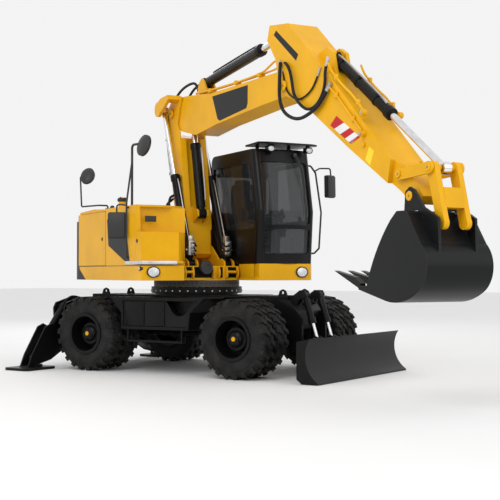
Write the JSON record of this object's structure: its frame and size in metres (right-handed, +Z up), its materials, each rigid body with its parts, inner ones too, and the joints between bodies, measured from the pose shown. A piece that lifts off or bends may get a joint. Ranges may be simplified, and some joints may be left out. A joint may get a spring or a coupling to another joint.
{
  "type": "wheeled excavator",
  "caption": "Wheeled excavator with a two-piece boom, dipper and bucket, a slewing cab and engine deck, twin wheels, a front blade and rear stabilisers, parked with its arm out over the blade.",
  "frame": {"origin": "on the ground under the slew axis", "axes": "+Z up along the slew axis, +X forward towards the blade, +Y left"},
  "size_m": [7.7225, 5.2717, 4.429],
  "materials": {
    "yellow_paint": "satin",
    "black_paint": "satin",
    "dark_grey_paint": "satin",
    "cab_paint": "semi-gloss",
    "bucket_paint": "matt",
    "rod_chrome": "polished",
    "tyre_rubber": "matt",
    "engine_iron": "matt",
    "tooth_steel": "worn",
    "window_glass": "polished",
    "seat_fabric": "woven",
    "console_plastic": "grained"
  },
  "bodies": {
    "chassis": {"chassis_frame": "black_paint", "tool_boxes": "black_paint", "slew_ring": "black_paint", "front_axle": "black_paint", "rear_axle": "black_paint", "drive_shafts": "black_paint", "stabiliser_frame": "black_paint"},
    "upper": {"upper_deck": "yellow_paint", "counterweight": "dark_grey_paint", "engine_housing": "yellow_paint", "engine_block": "engine_iron", "cab_frame": "cab_paint", "cab_glass": "window_glass", "cab_visor": "cab_paint", "mirrors": "black_paint", "deck_lamps": "window_glass", "operator_seat": "seat_fabric", "cab_consoles": "console_plastic"},
    "cab_door": {"cab_door": "cab_paint", "door_glass": "window_glass"},
    "hood_lid": {"hood_lid": "yellow_paint"},
    "side_door_right": {"side_door_right": "yellow_paint"},
    "side_door_left": {"side_door_left": "yellow_paint"},
    "blade": {"blade": "black_paint"},
    "blade_barrels": {"blade_ram_barrels": "black_paint"},
    "blade_rods": {"blade_ram_rods": "rod_chrome"},
    "base_boom": {"base_boom": "yellow_paint"},
    "lift_barrels": {"lift_ram_barrel": "black_paint"},
    "lift_rods": {"lift_ram_rod": "rod_chrome"},
    "upper_boom": {"upper_boom": "yellow_paint"},
    "positioning_barrel": {"positioning_ram_barrel": "black_paint"},
    "positioning_rod": {"positioning_ram_rod": "rod_chrome"},
    "dipper": {"dipper": "yellow_paint"},
    "dipper_barrel": {"dipper_ram_barrel": "black_paint"},
    "dipper_rod": {"dipper_ram_rod": "rod_chrome"},
    "tipping_levers": {"tipping_levers": "yellow_paint"},
    "tipping_link": {"tipping_link": "yellow_paint"},
    "bucket_barrel": {"bucket_ram_barrel": "black_paint"},
    "bucket_rod": {"bucket_ram_rod": "rod_chrome"},
    "bucket": {"bucket": "bucket_paint", "bucket_teeth": "tooth_steel"},
    "knuckle_left": {"knuckle_left": "black_paint"},
    "wheel_front_left": {"wheel_front_left": "black_paint", "tyres_front_left": "tyre_rubber"},
    "wheel_rear_left": {"wheel_rear_left": "black_paint", "tyres_rear_left": "tyre_rubber"},
    "stabiliser_left": {"stabiliser_leg_left": "black_paint"},
    "stabiliser_barrel_left": {"stabiliser_barrel_left": "black_paint"},
    "stabiliser_rod_left": {"stabiliser_rod_left": "rod_chrome"},
    "knuckle_right": {"knuckle_right": "black_paint"},
    "wheel_front_right": {"wheel_front_right": "black_paint", "tyres_front_right": "tyre_rubber"},
    "wheel_rear_right": {"wheel_rear_right": "black_paint", "tyres_rear_right": "tyre_rubber"},
    "stabiliser_right": {"stabiliser_leg_right": "black_paint"},
    "stabiliser_barrel_right": {"stabiliser_barrel_right": "black_paint"},
    "stabiliser_rod_right": {"stabiliser_rod_right": "rod_chrome"}
  },
  "joints": [
    {"name": "slew", "type": "hinge", "parent": "chassis", "child": "upper", "pos_m": [0, 0, 1.18], "axis": [0, 0, 1], "continuous": true},
    {"name": "steer_left", "type": "hinge", "parent": "chassis", "child": "knuckle_left", "pos_m": [1.45, 0.75, 0.52], "axis": [0, 0, 1], "range_deg": [-25, 25]},
    {"name": "steer_right", "type": "hinge", "parent": "chassis", "child": "knuckle_right", "pos_m": [1.45, -0.75, 0.52], "axis": [0, 0, 1], "range_deg": [-25.05, 25.05]},
    {"name": "roll_front_left", "type": "hinge", "parent": "knuckle_left", "child": "wheel_front_left", "pos_m": [1.45, 0.9625, 0.52], "axis": [0, 1, 0], "continuous": true},
    {"name": "roll_rear_left", "type": "hinge", "parent": "chassis", "child": "wheel_rear_left", "pos_m": [-1.03, 0.9625, 0.52], "axis": [0, 1, 0], "continuous": true},
    {"name": "roll_front_right", "type": "hinge", "parent": "knuckle_right", "child": "wheel_front_right", "pos_m": [1.45, -0.9625, 0.52], "axis": [0, 1, 0], "continuous": true},
    {"name": "roll_rear_right", "type": "hinge", "parent": "chassis", "child": "wheel_rear_right", "pos_m": [-1.03, -0.9625, 0.52], "axis": [0, 1, 0], "continuous": true},
    {"name": "blade_lift", "type": "hinge", "parent": "chassis", "child": "blade", "pos_m": [1.86, 0, 0.36], "axis": [0, -1, 0], "range_deg": [-8, 28]},
    {"name": "blade_barrel_swing", "type": "hinge", "parent": "chassis", "child": "blade_barrels", "pos_m": [1.93, 0, 1.08], "axis": [0, -1, 0], "range_deg": [-3.88, 1.15]},
    {"name": "blade_rod_slide", "type": "slide", "parent": "blade_barrels", "child": "blade_rods", "axis": [0.2974, 0, -0.9548], "range_m": [-0.1307, 0.0381]},
    {"name": "stabiliser_left_swing", "type": "hinge", "parent": "chassis", "child": "stabiliser_left", "pos_m": [-1.83, 0.76, 0.43], "axis": [1, 0, 0], "range_deg": [-3, 50]},
    {"name": "stabiliser_left_barrel_swing", "type": "hinge", "parent": "chassis", "child": "stabiliser_barrel_left", "pos_m": [-1.83, 0.83, 0.88], "axis": [1, 0, 0], "range_deg": [-2.38, 38.8]},
    {"name": "stabiliser_left_rod_slide", "type": "slide", "parent": "stabiliser_barrel_left", "child": "stabiliser_rod_left", "axis": [0, 0.6611, -0.7503], "range_m": [-0.3605, 0.0226]},
    {"name": "stabiliser_right_swing", "type": "hinge", "parent": "chassis", "child": "stabiliser_right", "pos_m": [-1.83, -0.76, 0.43], "axis": [-1, 0, 0], "range_deg": [-3, 50]},
    {"name": "stabiliser_right_barrel_swing", "type": "hinge", "parent": "chassis", "child": "stabiliser_barrel_right", "pos_m": [-1.83, -0.83, 0.88], "axis": [-1, 0, 0], "range_deg": [-2.38, 38.8]},
    {"name": "stabiliser_right_rod_slide", "type": "slide", "parent": "stabiliser_barrel_right", "child": "stabiliser_rod_right", "axis": [0, -0.6611, -0.7503], "range_m": [-0.3605, 0.0226]},
    {"name": "cab_door_swing", "type": "hinge", "parent": "upper", "child": "cab_door", "pos_m": [0.70617, 1.06539, 2.2], "axis": [0, 0, 1], "range_deg": [0, 150]},
    {"name": "hood_swing", "type": "hinge", "parent": "upper", "child": "hood_lid", "pos_m": [-1.42738, 0.80758, 2.262], "axis": [-0.4924, -0.8704, 0], "range_deg": [0, 60]},
    {"name": "side_door_right_swing", "type": "hinge", "parent": "upper", "child": "side_door_right", "pos_m": [-0.97237, -0.88605, 1.9], "axis": [0, 0, 1], "range_deg": [0, 80]},
    {"name": "side_door_left_swing", "type": "hinge", "parent": "upper", "child": "side_door_left", "pos_m": [-0.80315, 1.8906, 1.9], "axis": [0, 0, 1], "range_deg": [0, 80]},
    {"name": "boom_lift", "type": "hinge", "parent": "upper", "child": "base_boom", "pos_m": [0, 0, 1.7], "axis": [-0.4924, -0.8704, 0], "range_deg": [-50, 5]},
    {"name": "lift_barrel_swing", "type": "hinge", "parent": "upper", "child": "lift_barrels", "pos_m": [0.34814, -0.19697, 1.5], "axis": [-0.4924, -0.8704, 0], "range_deg": [-45.47, 4.59]},
    {"name": "lift_rod_slide", "type": "slide", "parent": "lift_barrels", "child": "lift_rods", "axis": [-0.3344, 0.1892, 0.9233], "range_m": [-0.323, 0.0332]},
    {"name": "knuckle_lift", "type": "hinge", "parent": "base_boom", "child": "upper_boom", "pos_m": [-0.36555, 0.20682, 3.73], "axis": [-0.4924, -0.8704, 0], "range_deg": [-8, 65]},
    {"name": "positioning_barrel_swing", "type": "hinge", "parent": "base_boom", "child": "positioning_barrel", "pos_m": [0.13926, -0.07879, 2.225], "axis": [-0.4924, -0.8704, 0], "range_deg": [-5.28, 0.69]},
    {"name": "positioning_rod_slide", "type": "slide", "parent": "positioning_barrel", "child": "positioning_rod", "axis": [-0.1739, 0.0984, 0.9798], "range_m": [-0.0515, 0.4113]},
    {"name": "dipper_swing", "type": "hinge", "parent": "upper_boom", "child": "dipper", "pos_m": [2.59366, -1.46742, 3.62], "axis": [0.4924, 0.8704, 0], "range_deg": [-30, 38]},
    {"name": "dipper_barrel_swing", "type": "hinge", "parent": "upper_boom", "child": "dipper_barrel", "pos_m": [0.29853, -0.1689, 4.087], "axis": [-0.4924, -0.8704, 0], "range_deg": [-2.6, 3.28]},
    {"name": "dipper_rod_slide", "type": "slide", "parent": "dipper_barrel", "child": "dipper_rod", "axis": [0.8659, -0.4899, 0.1009], "range_m": [-0.3709, 0.4696]},
    {"name": "bucket_swing", "type": "hinge", "parent": "dipper", "child": "bucket", "pos_m": [4.81307, -2.7231, 2.133], "axis": [-0.4924, -0.8704, 0], "range_deg": [-20, 105]},
    {"name": "tipping_lever_swing", "type": "hinge", "parent": "dipper", "child": "tipping_levers", "pos_m": [4.60853, -2.60738, 2.371], "axis": [-0.4924, -0.8704, 0], "range_deg": [-17.71, 92.79]},
    {"name": "tipping_link_swing", "type": "hinge", "parent": "tipping_levers", "child": "tipping_link", "pos_m": [5.03327, -2.84768, 2.398], "axis": [-0.4924, -0.8704, 0], "range_deg": [-46.4, 8.88]},
    {"name": "bucket_barrel_swing", "type": "hinge", "parent": "dipper", "child": "bucket_barrel", "pos_m": [3.29256, -1.86284, 3.846], "axis": [-0.4924, -0.8704, 0], "range_deg": [-0.98, 4.94]},
    {"name": "bucket_rod_slide", "type": "slide", "parent": "bucket_barrel", "child": "bucket_rod", "axis": [0.705, -0.3989, -0.5864], "range_m": [-0.6706, 0.1285]}
  ],
  "couplings": [
    {"joint": "steer_right", "follows": "steer_left", "ratio": 1},
    {"joint": "blade_barrel_swing", "follows": "blade_lift", "ratio": -0.1369},
    {"joint": "blade_rod_slide", "follows": "blade_lift", "m_per_rad": -0.2654},
    {"joint": "stabiliser_left_barrel_swing", "follows": "stabiliser_left_swing", "ratio": 0.775},
    {"joint": "stabiliser_left_rod_slide", "follows": "stabiliser_left_swing", "m_per_rad": -0.4119},
    {"joint": "stabiliser_right_barrel_swing", "follows": "stabiliser_right_swing", "ratio": 0.775},
    {"joint": "stabiliser_right_rod_slide", "follows": "stabiliser_right_swing", "m_per_rad": -0.4119},
    {"joint": "lift_barrel_swing", "follows": "boom_lift", "ratio": 0.9083},
    {"joint": "lift_rod_slide", "follows": "boom_lift", "m_per_rad": 0.369},
    {"joint": "positioning_barrel_swing", "follows": "knuckle_lift", "ratio": -0.0805},
    {"joint": "positioning_rod_slide", "follows": "knuckle_lift", "m_per_rad": 0.3617},
    {"joint": "dipper_barrel_swing", "follows": "dipper_swing", "ratio": 0.0849},
    {"joint": "dipper_rod_slide", "follows": "dipper_swing", "m_per_rad": 0.7065},
    {"joint": "tipping_lever_swing", "follows": "bucket_swing", "ratio": 0.8832},
    {"joint": "tipping_link_swing", "follows": "bucket_swing", "ratio": -0.4414},
    {"joint": "bucket_barrel_swing", "follows": "bucket_swing", "ratio": 0.0466},
    {"joint": "bucket_rod_slide", "follows": "bucket_swing", "m_per_rad": -0.3654}
  ]
}
